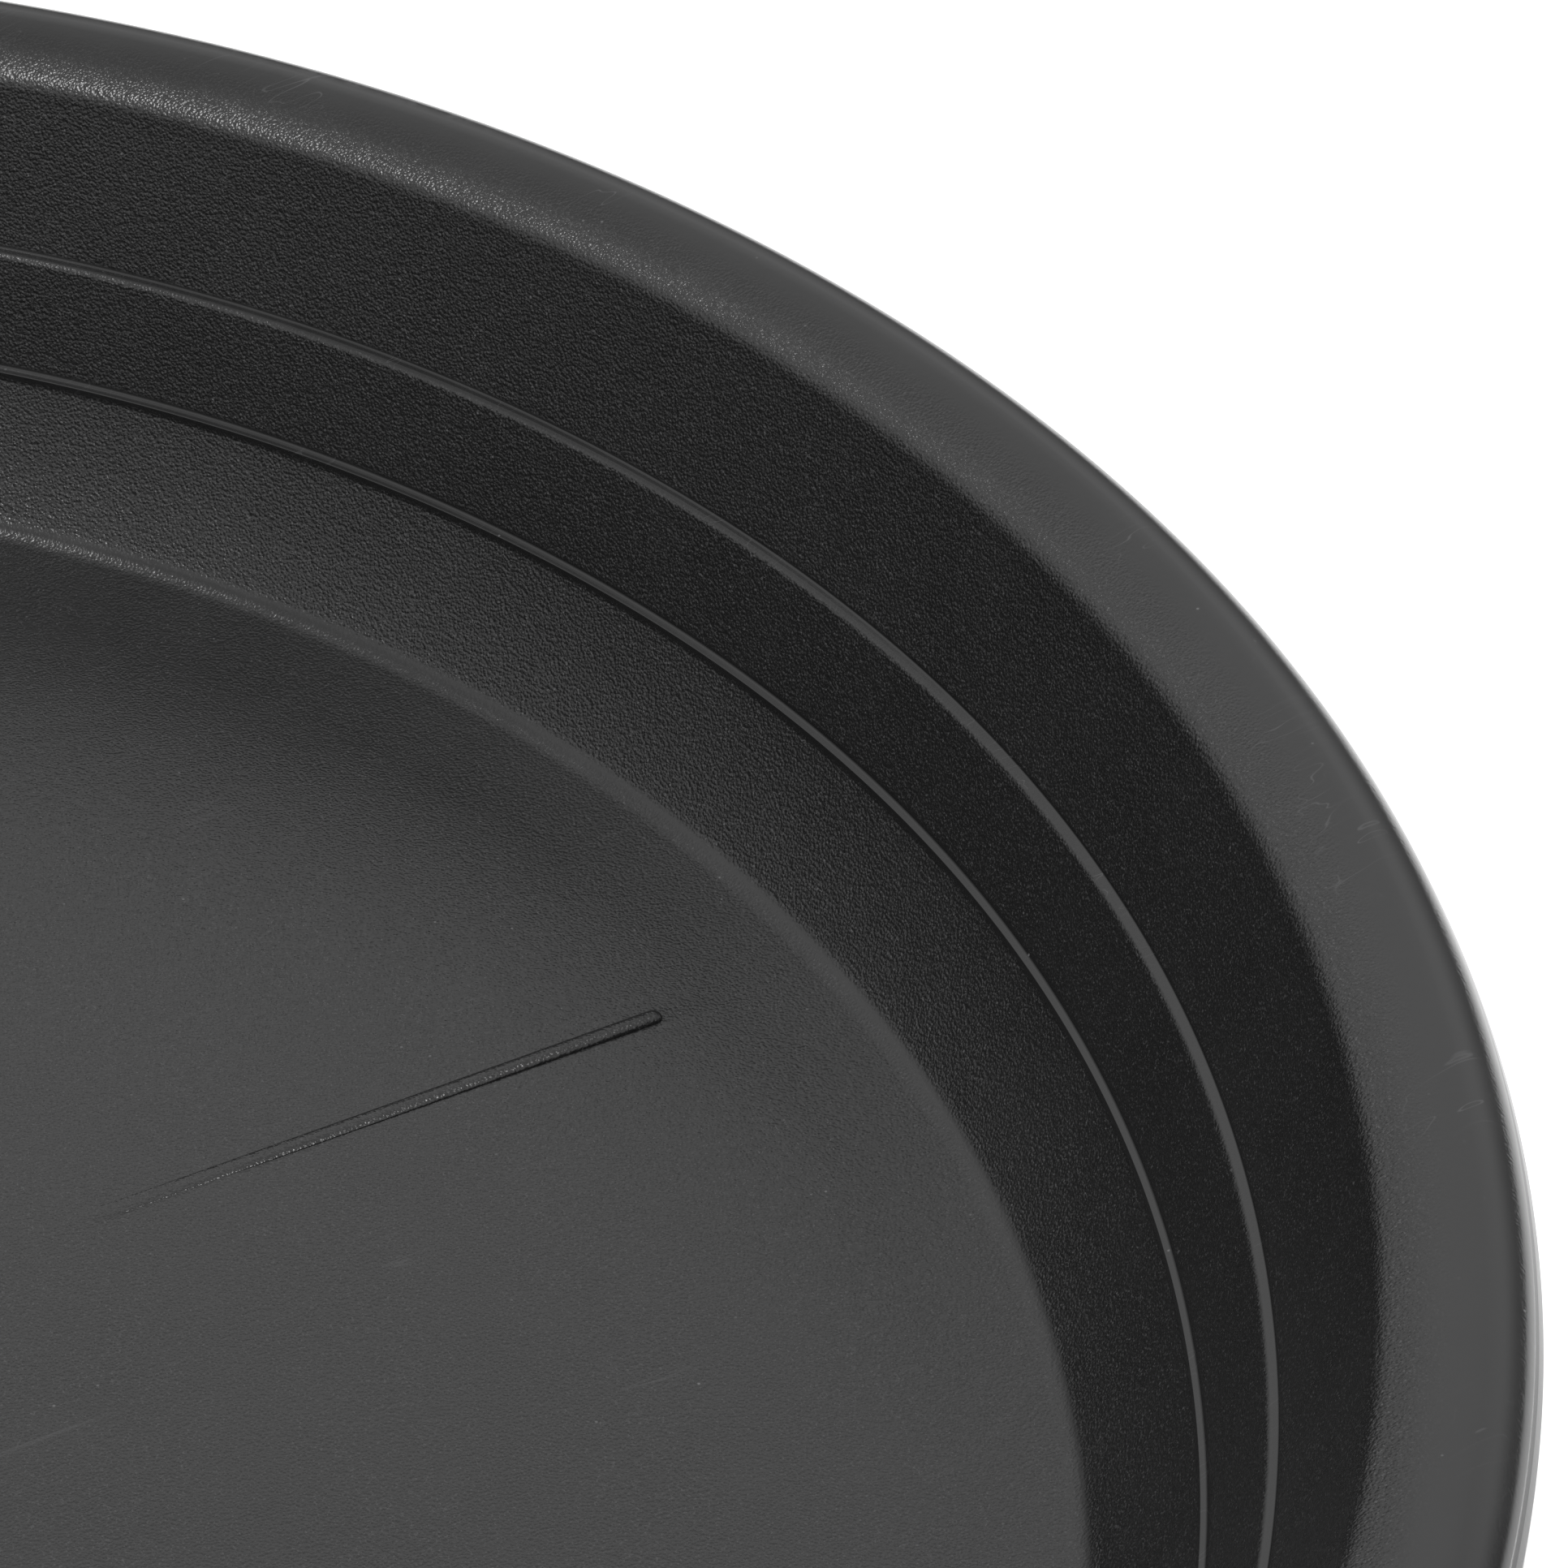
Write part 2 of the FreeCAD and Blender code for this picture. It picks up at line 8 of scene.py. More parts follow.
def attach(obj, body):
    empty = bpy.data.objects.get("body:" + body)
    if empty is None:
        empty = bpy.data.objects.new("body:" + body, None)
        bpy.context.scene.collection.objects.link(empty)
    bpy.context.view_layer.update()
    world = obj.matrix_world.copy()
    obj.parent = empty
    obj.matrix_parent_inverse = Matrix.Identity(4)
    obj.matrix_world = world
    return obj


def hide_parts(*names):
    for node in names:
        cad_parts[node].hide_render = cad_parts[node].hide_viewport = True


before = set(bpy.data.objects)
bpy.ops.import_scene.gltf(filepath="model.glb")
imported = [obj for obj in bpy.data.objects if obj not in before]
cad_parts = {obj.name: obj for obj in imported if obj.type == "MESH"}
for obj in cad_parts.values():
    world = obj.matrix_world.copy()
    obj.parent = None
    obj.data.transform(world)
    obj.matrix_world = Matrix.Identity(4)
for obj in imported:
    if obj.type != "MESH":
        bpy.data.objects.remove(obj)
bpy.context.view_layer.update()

MM = 0.001
TURN = 2 * math.pi

# Sides of what is turned: the pan, other round parts, the wire and small holes.
PAN_STEPS, ROUND_STEPS, WIRE_STEPS = 720, 96, 32
PIVOT_STEPS, STRAINER_HOLE_STEPS = 48, 24

# ---------------------------------------------------------------- sizes, in millimetres

RIM_TOP = 75.46
MIDDLE_RADIUS, MIDDLE_LEVEL = 120.7, 3.6
CREASE_RADIUS, CREASE_LEVEL = 228.0, 2.4
UNDER_RIM = 73.5

# The handles: bent wire in two lugs each, with a grip that turns on the wire's lower bar.
PIVOT_X, PIVOT_Z = 283.0, 56.0
LUG_ROOT, LUG_TIP = 258.0, 290.0
LUG_ROOT_Z, LUG_BOTTOM_Z = 42.5, 49.0
LUG_NEAR, LUG_THICKNESS = 60.0, 8.0
WIRE_RADIUS, WIRE_BEND, WIRE_HOLE = 2.5, 8.0, 2.58
BAIL_SIDE, BAIL_TIP = 50.0, 70.0
GRIP_Z = 11.0
GRIP_LENGTH, GRIP_RADIUS, GRIP_EDGE = 78.0, 7.5, 1.5
GROOVE_DEPTH, GROOVE_HALF_WIDTH = 1.0, 2.4

# The neck and what it carries lie along Y, and the outer end is the lowest Y.
NECK_Z = 43.0
NECK_START, NECK_END = -240.0, -323.0
NECK_RADIUS, NECK_BORE = 18.0, 15.0
COLLAR_RADIUS, COLLAR_START, COLLAR_END = 20.4, -299.2, -301.4
THREAD_RADIUS, THREAD_START, THREAD_PITCH = 19.3, -306.0, 4.0
CAP_RADIUS, CAP_BORE = 22.0, 19.6
CAP_MOUTH, CAP_INSIDE, CAP_END = -303.0, -325.1, -327.5
CAP_EDGE, RIDGE_COUNT, RIDGE_DEPTH = 1.2, 30, 0.9
BAR_HALF_LENGTH, BAR_HALF_WIDTH, BAR_TIP_HALF_WIDTH = 15, 3.5, 3.2
BAR_ROOT, BAR_HEIGHT = 2.0, 5.0
SEAL_RADIUS, SEAL_START, SEAL_END = 19.2, -323.05, -325.05
STRAINER_RADIUS, STRAINER_BORE = 14.95, 13.2
STRAINER_FACE, STRAINER_MOUTH, STRAINER_THICKNESS = -278.0, -292.0, 1.8
STRAINER_HOLE = 2
STRAINER_RINGS = ((0, 1), (4.95, 5), (9.9, 11))

RIB_COUNT, RIB_HALF_WIDTH, RIB_START, RIB_END = 6, 1.45, 119.0, 218.7

# Each row is radius, height and how far the corner there is rounded.
OUTER_SECTION = [
    (0, 0, 0),
    (150, 0, 0),
    (245.3, 0, 5.0),
    (262.66, 27.0, 0.8),
    (268.5, 43.3, 0.6),
    (270.15, 43.75, 0.6),
    (280.25, 69.4, 3.0),
    (286.1, 72.02, 4.0),
    (294.8, 73.5, 2.4),
    (297.6, 69.0, 0.5),
    (297.6, 64.8, 0.25),
    (300.0, 64.8, 0.6),
    (300.0, 69.0, 0.6),
    (299.25, 70.45, 0.3),
    (298.72, 71.15, 0.25),
    (298.6, 71.85, 0.2),
    (296.43, RIM_TOP, 7.1),
    (150, RIM_TOP, 0),
    (0, RIM_TOP, 0),
]
INNER_SECTION = [
    (0, MIDDLE_LEVEL, 0),
    (60, MIDDLE_LEVEL, 0),
    (MIDDLE_RADIUS, MIDDLE_LEVEL, 0),
    (CREASE_RADIUS, CREASE_LEVEL, 0),
    (245.4, 4.6, 6.0),
    (252.9, 14.6, 120.0),
    (258.75, 25.4, 0.25),
    (259.05, 26.75, 0.22),
    (260.1, 26.95, 0.9),
    (266.4, 44.7, 1.5),
    (268.05, 44.95, 0.5),
    (278.37, 71.2, 4.6),
    (285.4, 74.32, 42.0),
    (291.87, RIM_TOP, 0),
    (291.87, RIM_TOP + 4, 0),
    (0, RIM_TOP + 4, 0),
]


# ---------------------------------------------------------------- mesh helpers


def rounded(section, step_degrees=7.0):
    """The section with each corner that has a radius turned into an arc."""
    count = len(section)
    points = []
    for index, (across, up, radius) in enumerate(section):
        corner = Vector((across, up))
        if not radius:
            points.append(corner)
            continue
        back = (Vector(section[index - 1][:2]) - corner).normalized()
        ahead = (Vector(section[(index + 1) % count][:2]) - corner).normalized()
        half = back.angle(ahead) / 2
        reach = radius / math.tan(half)
        centre = corner + (back + ahead).normalized() * (radius / math.sin(half))
        start, end = corner + back * reach - centre, corner + ahead * reach - centre
        sweep = start.angle(end)
        steps = max(3, round(math.degrees(sweep) / step_degrees))
        for step in range(steps + 1):
            points.append(centre + start.slerp(end, step / steps) * radius)
    return points


def new_object(name, mesh_maker):
    """An object whose mesh is built in millimetres and stored in metres."""
    bm = bmesh.new()
    mesh_maker(bm)
    bmesh.ops.remove_doubles(bm, verts=bm.verts, dist=1e-5)
    bmesh.ops.recalc_face_normals(bm, faces=bm.faces)
    bmesh.ops.scale(bm, vec=(MM, MM, MM), verts=bm.verts)
    mesh = bpy.data.meshes.new(name)
    bm.to_mesh(mesh)
    bm.free()
    obj = bpy.data.objects.new(name, mesh)
    bpy.context.scene.collection.objects.link(obj)
    return obj


def join_columns(bm, columns, steps):
    """Faces between neighbouring rings of vertices; a ring may be one vertex repeated."""
    for low, high in zip(columns, columns[1:]):
        for k in range(steps):
            n = (k + 1) % steps
            ring = [low[k], low[n], high[n], high[k]]
            face = [v for i, v in enumerate(ring) if v not in ring[:i]]
            if len(face) > 2:
                bm.faces.new(face)


def lathe(bm, points, steps, place=lambda r, z, c, s: (r * c, r * s, z), closed=False):
    """Turns a section of (radius, height) points. Points on the axis become single vertices."""
    columns = []
    for radius, height in points:
        if radius < 1e-6:
            columns.append([bm.verts.new(place(0, height, 1, 0))] * steps)
            continue
        columns.append(
            [
                bm.verts.new(
                    place(radius, height, math.cos(TURN * k / steps), math.sin(TURN * k / steps))
                )
                for k in range(steps)
            ]
        )
    join_columns(bm, columns + columns[:1] if closed else columns, steps)


def along_y(centre_x, centre_z):
    """Places a lathe's section round a line parallel to Y: height becomes Y."""
    return lambda r, y, c, s: (centre_x + r * c, y, centre_z + r * s)


def skin(bm, rings):
    """Joins rings of vertices into a closed skin and caps its two ends."""
    join_columns(bm, rings, len(rings[0]))
    bm.faces.new(rings[0])
    bm.faces.new(list(reversed(rings[-1])))


def tube(bm, path, radius, sides):
    """A round tube along a path of points, its ends closed with low domes."""
    frames = []
    for index, point in enumerate(path):
        before = path[max(index - 1, 0)]
        after = path[min(index + 1, len(path) - 1)]
        ahead = (after - before).normalized()
        side = ahead.cross(Vector((1, 0, 0))).normalized()
        frames.append((point, ahead, side, ahead.cross(side)))
    rings = []

    def ring(centre, side, up, size):
        rings.append(
            [
                bm.verts.new(
                    centre
                    + side * (size * math.cos(TURN * k / sides))
                    + up * (size * math.sin(TURN * k / sides))
                )
                for k in range(sides)
            ]
        )

    # Each row is a share of the radius and how far that ring lies from the wire's tip.
    dome = ((0.55, 0.0), (0.85, 0.175), (1.0, 0.4))
    point, ahead, side, up = frames[0]
    for share, back in dome:
        ring(point + ahead * back, side, up, radius * share)
    for point, ahead, side, up in frames[1:-1]:
        ring(point, side, up, radius)
    point, ahead, side, up = frames[-1]
    for share, back in reversed(dome):
        ring(point - ahead * back, side, up, radius * share)
    skin(bm, rings)


def combine(base, tool, how):
    """Applies a boolean of two closed meshes to the base and deletes the tool.

    The solver leaves the base as it was if either mesh has a gap or a doubled vertex.
    """
    modifier = base.modifiers.new("combine", "BOOLEAN")
    modifier.operation = how
    modifier.solver = "MANIFOLD"
    modifier.object = tool
    bpy.context.view_layer.update()
    graph = bpy.context.evaluated_depsgraph_get()
    mesh = bpy.data.meshes.new_from_object(base.evaluated_get(graph))
    base.modifiers.clear()
    base.data = mesh
    bpy.data.objects.remove(tool)


def finish_piece(obj, body, material, nodes, sharp=32.0):
    """Smooth shading up to an angle, one material, and the piece's place in the frame."""
    obj.data.materials.clear()
    obj.data.materials.append(material)
    for polygon in obj.data.polygons:
        polygon.use_smooth = True
        polygon.material_index = 0
    obj.data.set_sharp_from_angle(angle=math.radians(sharp))
    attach(obj, body)
    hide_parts(*nodes)
    return obj


# ---------------------------------------------------------------- pan


def lug_outlines(bm):
    """Four plates under the rim that carry the handles, their lower corners rounded."""
    section = [
        (LUG_ROOT, LUG_ROOT_Z, 0),
        (PIVOT_X, LUG_BOTTOM_Z, 2.0),
        (LUG_TIP, LUG_BOTTOM_Z, 5.5),
        (LUG_TIP, UNDER_RIM, 0),
        (LUG_ROOT, UNDER_RIM, 0),
    ]
    outline = rounded(section)
    for across in (1, -1):
        for low in (-LUG_NEAR - LUG_THICKNESS, LUG_NEAR):
            skin(
                bm,
                [
                    [bm.verts.new((across * p.x, y, p.y)) for p in outline]
                    for y in (low, low + LUG_THICKNESS)
                ],
            )


def neck_outside(bm):
    """The neck with its stop collar and thread crests."""
    section = [
        (0, NECK_START, 0),
        (NECK_RADIUS, NECK_START, 0),
        (NECK_RADIUS, COLLAR_START, 0.3),
        (COLLAR_RADIUS, COLLAR_START, 0.5),
        (COLLAR_RADIUS, COLLAR_END, 0.5),
        (NECK_RADIUS, COLLAR_END, 0.3),
    ]
    for crest in range(3):
        start = THREAD_START - THREAD_PITCH * crest
        section += [
            (NECK_RADIUS, start + 0.35, 0.2),
            (THREAD_RADIUS, start - 0.2, 0.3),
            (THREAD_RADIUS, start - 1.3, 0.3),
            (NECK_RADIUS, start - 1.85, 0.2),
        ]
    section += [(NECK_RADIUS, NECK_END, 0.5), (0, NECK_END, 0)]
    lathe(bm, rounded(section, 20), ROUND_STEPS, along_y(0, NECK_Z))


def rib_beads(bm):
    """Radial beads on the falling floor, level on top, with a round outer end."""
    sunk = 1.5  # the bead's foot, inside the floor
    top = MIDDLE_LEVEL - 0.01
    end = RIB_END - RIB_HALF_WIDTH
    straight, bend, arch = 12, 8, 12
    stations = [(RIB_START + (end - RIB_START) * k / straight, 1.0) for k in range(straight + 1)]
    for k in range(1, bend + 1):
        angle = math.pi / 2 * k / (bend + 0.5)
        stations.append((end + RIB_HALF_WIDTH * math.sin(angle), math.cos(angle)))
    for rib in range(RIB_COUNT):
        turn = math.pi / 2 + TURN * rib / RIB_COUNT
        along = Vector((math.cos(turn), math.sin(turn), 0))
        across = Vector((-math.sin(turn), math.cos(turn), 0))
        rings = []
        for place, share in stations:
            fall = (place - MIDDLE_RADIUS) / (CREASE_RADIUS - MIDDLE_RADIUS)
            floor = MIDDLE_LEVEL - (MIDDLE_LEVEL - CREASE_LEVEL) * max(fall, 0)
            height = max(top - floor, 0.02) * share
            half_width = RIB_HALF_WIDTH * share
            ring = []
            for step in range(arch + 1):
                angle = math.pi * step / arch
                ring.append((half_width * math.cos(angle), floor + height * math.sin(angle)))
            ring += [(-half_width, sunk), (half_width, sunk)]
            rings.append(
                [bm.verts.new(along * place + across * u + Vector((0, 0, v))) for u, v in ring]
            )
        skin(bm, rings)


def cut_bore(base, centre_x, centre_z, section, steps):
    """Cuts a turned hole, parallel to Y, out of the base."""
    place = along_y(centre_x, centre_z)
    bore = new_object("bore", lambda bm: lathe(bm, section, steps, place))
    combine(base, bore, "DIFFERENCE")


def build_pan(material):
    pan = new_object("pan_moulding", lambda bm: lathe(bm, rounded(OUTER_SECTION), PAN_STEPS))
    combine(pan, new_object("lugs", lug_outlines), "UNION")
    combine(pan, new_object("neck", neck_outside), "UNION")
    cavity = new_object("cavity", lambda bm: lathe(bm, rounded(INNER_SECTION), PAN_STEPS))
    combine(pan, cavity, "DIFFERENCE")
    combine(pan, new_object("beads", rib_beads), "UNION")
    beyond, chamfer = NECK_END - 7.0, 0.6
    bore = [
        (0, beyond),
        (NECK_BORE + chamfer, beyond),
        (NECK_BORE + chamfer, NECK_END),
        (NECK_BORE, NECK_END + chamfer),
        (NECK_BORE, NECK_START),
        (0, NECK_START),
    ]
    cut_bore(pan, 0, NECK_Z, bore, ROUND_STEPS)
    reach = LUG_NEAR + LUG_THICKNESS + 6.0
    hole = [(0, -reach), (WIRE_HOLE, -reach), (WIRE_HOLE, reach), (0, reach)]
    for across in (PIVOT_X, -PIVOT_X):
        cut_bore(pan, across, PIVOT_Z, hole, PIVOT_STEPS)
    return finish_piece(pan, "pan", material, ["pan_body"], 28.0)


# ---------------------------------------------------------------- handles


def bail_path(across):
    """The wire's centre line: in from one tip, down, along the bar, up and out to the other."""
    section = [
        (BAIL_TIP, PIVOT_Z, 0),
        (BAIL_SIDE, PIVOT_Z, WIRE_BEND),
        (BAIL_SIDE, GRIP_Z, WIRE_BEND),
        (-BAIL_SIDE, GRIP_Z, WIRE_BEND),
        (-BAIL_SIDE, PIVOT_Z, WIRE_BEND),
        (-BAIL_TIP, PIVOT_Z, 0),
    ]
    points = [Vector((across, p.x, p.y)) for p in rounded(section, 8)]
    start, end = points[0], points[-1]
    inward = Vector((0, -0.6, 0))
    return [start, start + inward] + points[1:-1] + [end - inward, end]


def build_bail(side, across, material):
    name = f"{side}_bail_wire"
    bail = new_object(name, lambda bm: tube(bm, bail_path(across), WIRE_RADIUS, WIRE_STEPS))
    return finish_piece(bail, f"{side}_handle", material, [f"{side}_bail"])


def build_grip(side, across, material):
    """A tube with five soft finger grooves and rounded ends."""
    half, steps, chamfer = GRIP_LENGTH / 2, 156, 0.4
    points = []
    for step in range(steps + 1):
        place = -half + GRIP_LENGTH * step / steps
        radius = GRIP_RADIUS
        for groove in range(-2, 3):
            offset = abs(place - groove * GRIP_LENGTH / 6) / GROOVE_HALF_WIDTH
            if offset < 1:
                dip = GROOVE_DEPTH / 2 * (1 + math.cos(math.pi * offset))
                radius = min(radius, GRIP_RADIUS - dip)
        edge = half - abs(place)
        if edge < GRIP_EDGE:
            radius -= GRIP_EDGE - math.sqrt(GRIP_EDGE ** 2 - (GRIP_EDGE - edge) ** 2)
        points.append((radius, place))
    points += [
        (WIRE_HOLE + chamfer, half),
        (WIRE_HOLE, half - chamfer),
        (WIRE_HOLE, -half + chamfer),
        (WIRE_HOLE + chamfer, -half),
    ]
    grip = new_object(
        f"{side}_grip_tube",
        lambda bm: lathe(bm, points, ROUND_STEPS, along_y(across, GRIP_Z), closed=True),
    )
    return finish_piece(grip, f"{side}_handle_grip", material, [f"{side}_grip"])


# ---------------------------------------------------------------- cap, seal and strainer


def cap_skin(bm):
    """The ridged skirt and end of the cap, hollow inside."""
    steps, arc, chamfer = 360, 6, 0.4
    # Each row is radius, place along Y and the share of the ridges' depth there.
    rows = [
        (0, CAP_INSIDE, 0),
        (CAP_BORE, CAP_INSIDE, 0),
        (CAP_BORE, CAP_MOUTH - chamfer, 0),
        (CAP_BORE + chamfer, CAP_MOUTH, 0),
        (CAP_RADIUS - chamfer, CAP_MOUTH, 0),
        (CAP_RADIUS, CAP_MOUTH - chamfer, 0.6),
        (CAP_RADIUS, CAP_MOUTH - 1.2, 1),
        (CAP_RADIUS, CAP_END + 2.6, 1),
        (CAP_RADIUS, CAP_END + 2.0, 0),
    ]
    for k in range(arc + 1):
        angle = math.pi / 2 * k / arc
        rows.append(
            (
                CAP_RADIUS - CAP_EDGE + CAP_EDGE * math.cos(angle),
                CAP_END + CAP_EDGE - CAP_EDGE * math.sin(angle),
                0,
            )
        )
    # A fine ring is sunk into the cap's end.
    rows += [
        (18.6, CAP_END, 0),
        (18.3, CAP_END + 0.35, 0),
        (17.7, CAP_END + 0.35, 0),
        (17.4, CAP_END, 0),
        (0, CAP_END, 0),
    ]
    columns = []
    for radius, y, ridged in rows:
        if radius == 0:
            columns.append([bm.verts.new((0, y, NECK_Z))] * steps)
            continue
        column = []
        for k in range(steps):
            angle = TURN * k / steps
            bulge = RIDGE_DEPTH * max(0.0, math.cos(RIDGE_COUNT * angle)) ** 1.2 * ridged
            size = radius + bulge
            column.append(
                bm.verts.new((size * math.sin(angle), y, NECK_Z + size * math.cos(angle)))
            )
        columns.append(column)
    join_columns(bm, columns, steps)


def cap_bar(bm):
    """The bar across the cap's end, its upper edges rounded."""
    section = [
        (-BAR_HALF_WIDTH, 0, 0),
        (BAR_HALF_WIDTH, 0, 0),
        (BAR_TIP_HALF_WIDTH, -BAR_ROOT - BAR_HEIGHT, 1.3),
        (-BAR_TIP_HALF_WIDTH, -BAR_ROOT - BAR_HEIGHT, 1.3),
    ]
    outline = rounded(section, 18)
    # Each row is how far short of the bar's end, and the share of the full section there.
    taper = ((0, 0.86), (0.4, 0.95), (1.2, 1.0))
    stations = [(short - BAR_HALF_LENGTH, share) for short, share in taper]
    stations += [(BAR_HALF_LENGTH - short, share) for short, share in reversed(taper)]
    root = CAP_END + BAR_ROOT
    rings = [
        [bm.verts.new((place, root + p.y * share, NECK_Z + p.x * share)) for p in outline]
        for place, share in stations
    ]
    skin(bm, rings)


def build_cap(material):
    cap = new_object("spout_cap_shell", cap_skin)
    combine(cap, new_object("bar", cap_bar), "UNION")
    return finish_piece(cap, "cap", material, ["spout_cap"], 35.0)


def build_seal(material):
    section = [
        (0, SEAL_START, 0),
        (SEAL_RADIUS, SEAL_START, 0.3),
        (SEAL_RADIUS, SEAL_END, 0.3),
        (0, SEAL_END, 0),
    ]
    place = along_y(0, NECK_Z)
    seal = new_object("cap_seal_disc", lambda bm: lathe(bm, rounded(section, 20), ROUND_STEPS, place))
    return finish_piece(seal, "seal", material, ["cap_seal"])


def build_strainer(material):
    inside = STRAINER_FACE - STRAINER_THICKNESS
    section = [
        (0, STRAINER_FACE, 0),
        (STRAINER_RADIUS, STRAINER_FACE, 0.5),
        (STRAINER_RADIUS, STRAINER_MOUTH, 0.4),
        (STRAINER_BORE, STRAINER_MOUTH, 0.4),
        (STRAINER_BORE, inside, 0.3),
        (0, inside, 0),
    ]
    place = along_y(0, NECK_Z)
    strainer = new_object(
        "spout_strainer_cup", lambda bm: lathe(bm, rounded(section, 20), ROUND_STEPS, place)
    )

    def holes(bm):
        low, high = STRAINER_FACE - 6, STRAINER_FACE + 2
        pin = [(0, low), (STRAINER_HOLE, low), (STRAINER_HOLE, high), (0, high)]
        for ring, count in STRAINER_RINGS:
            for number in range(count):
                angle = TURN * number / count
                centre = along_y(ring * math.sin(angle), NECK_Z + ring * math.cos(angle))
                lathe(bm, pin, STRAINER_HOLE_STEPS, centre)

    combine(strainer, new_object("holes", holes), "DIFFERENCE")
    return finish_piece(strainer, "pan", material, ["spout_strainer"])


# ---------------------------------------------------------------- materials

# Height in millimetres and the share of leather grain there: from the floor's corner up, with
# a gap at each of the two ledges, and fading out over the rim's bend.
WALL_GRAIN = [
    (5.4, 0), (6.4, 1),
    (25.6, 1), (26.2, 0), (27.6, 0), (28.0, 1),
    (44.2, 1), (44.75, 0), (45.3, 0), (45.7, 1),
    (66.0, 1), (72.4, 0.8), (74.9, 0),
]
GRAIN_REACH = 80  # the height at which the ramp of the grain ends
FLOOR_GRAIN = 0.5


def fill_ramp(ramp, stops):
    """Fills a ramp with grey levels, each stop being (position from 0 to 1, level)."""
    while len(ramp.elements) < len(stops):
        ramp.elements.new(1.0)
    for element, (position, level) in zip(ramp.elements, stops):
        element.position = position
    for element, (position, level) in zip(ramp.elements, stops):
        element.color = (level, level, level, 1)


class Shader:
    """A short way to write a material's nodes."""

    def __init__(self, name):
        self.material = bpy.data.materials.new(name)
        self.material.use_nodes = True
        self.nodes = self.material.node_tree.nodes
        self.links = self.material.node_tree.links
        self.surface = self.nodes["Principled BSDF"]
        self.place = self.nodes.new("ShaderNodeTexCoord").outputs["Object"]

    def put(self, socket, value):
        if isinstance(value, bpy.types.NodeSocket):
            self.links.new(value, socket)
        elif value is not None:
            socket.default_value = value

    def math(self, operation, first, second=None):
        node = self.nodes.new("ShaderNodeMath")
        node.operation = operation
        for socket, value in zip(node.inputs, (first, second)):
            self.put(socket, value)
        return node.outputs[0]

    def add(self, first, second):
        return self.math("ADD", first, second)

    def times(self, first, second):
        return self.math("MULTIPLY", first, second)

    def largest(self, first, second):
        return self.math("MAXIMUM", first, second)

    def noise(self, scale, detail=3.0, roughness=0.5, vector=None):
        node = self.nodes.new("ShaderNodeTexNoise")
        self.put(node.inputs["Vector"], vector or self.place)
        node.inputs["Scale"].default_value = scale
        node.inputs["Detail"].default_value = detail
        node.inputs["Roughness"].default_value = roughness
        return node.outputs["Fac"]

    def cells(self, scale, feature="F1", output="Distance", vector=None, smooth=None):
        node = self.nodes.new("ShaderNodeTexVoronoi")
        node.feature = feature
        self.put(node.inputs["Vector"], vector or self.place)
        node.inputs["Scale"].default_value = scale
        if smooth is not None:
            node.inputs["Smoothness"].default_value = smooth
        return node.outputs[output]

    def between(self, value, low, high, out_low=0.0, out_high=1.0):
        node = self.nodes.new("ShaderNodeMapRange")
        self.put(node.inputs["Value"], value)
        names = ("From Min", "From Max", "To Min", "To Max")
        for name, number in zip(names, (low, high, out_low, out_high)):
            node.inputs[name].default_value = number
        return node.outputs["Result"]

    def steps(self, value, stops):
        node = self.nodes.new("ShaderNodeValToRGB")
        self.put(node.inputs["Fac"], value)
        fill_ramp(node.color_ramp, stops)
        return node.outputs["Color"]

    def mix(self, share, first, second):
        node = self.nodes.new("ShaderNodeMix")
        node.data_type = "RGBA"
        self.put(node.inputs["Factor"], share)
        self.put(node.inputs["A"], first)
        self.put(node.inputs["B"], second)
        return node.outputs["Result"]

    def stretched(self, scale, turn=(0, 0, 0)):
        node = self.nodes.new("ShaderNodeMapping")
        self.links.new(self.place, node.inputs["Vector"])
        node.inputs["Scale"].default_value = scale
        node.inputs["Rotation"].default_value = turn
        return node.outputs["Vector"]

    def split(self):
        node = self.nodes.new("ShaderNodeSeparateXYZ")
        self.links.new(self.place, node.inputs[0])
        return node.outputs

    def bump(self, height, distance, strength=1.0, normal=None):
        node = self.nodes.new("ShaderNodeBump")
        self.put(node.inputs["Height"], height)
        node.inputs["Distance"].default_value = distance
        self.put(node.inputs["Strength"], strength)
        if normal is not None:
            self.links.new(normal, node.inputs["Normal"])
        return node.outputs["Normal"]

    def set(self, **values):
        names = {
            "color": "Base Color",
            "roughness": "Roughness",
            "normal": "Normal",
            "ior": "IOR",
            "metallic": "Metallic",
        }
        for key, value in values.items():
            self.put(self.surface.inputs[names[key]], value)
        return self.material


def grey(level):
    return (level, level, level * 1.02, 1)


def scratches(shader, scale, width, turn):
    """Thin lines where a stretched noise crosses its middle, kept to scattered patches."""
    lines = shader.noise(scale, 1.0, 0.4, shader.stretched((1, 0.015, 1), turn))
    near = shader.math("ABSOLUTE", shader.math("SUBTRACT", lines, 0.5))
    thin = shader.between(near, 0.0, width, 1.0, 0.0)
    patch = shader.between(shader.noise(scale * 0.11, 2.0), 0.58, 0.66)
    return shader.times(thin, patch)


def leather(shader):
    """The height of a moulded leather: uneven rounded pebbles with a finer grain on them."""
    drift = shader.nodes.new("ShaderNodeTexNoise")
    shader.links.new(shader.place, drift.inputs["Vector"])
    drift.inputs["Scale"].default_value = 900
    wobble = shader.nodes.new("ShaderNodeVectorMath")
    wobble.operation = "MULTIPLY_ADD"
    shader.links.new(drift.outputs["Color"], wobble.inputs[0])
    wobble.inputs[1].default_value = (0.0004, 0.0004, 0.0004)
    shader.links.new(shader.place, wobble.inputs[2])
    pebbles = shader.cells(2000, "SMOOTH_F1", "Distance", wobble.outputs[0], 0.35)
    fine = shader.noise(4200, 2.0, 0.6)
    return shader.add(shader.times(pebbles, -1.0), shader.times(fine, 0.35))


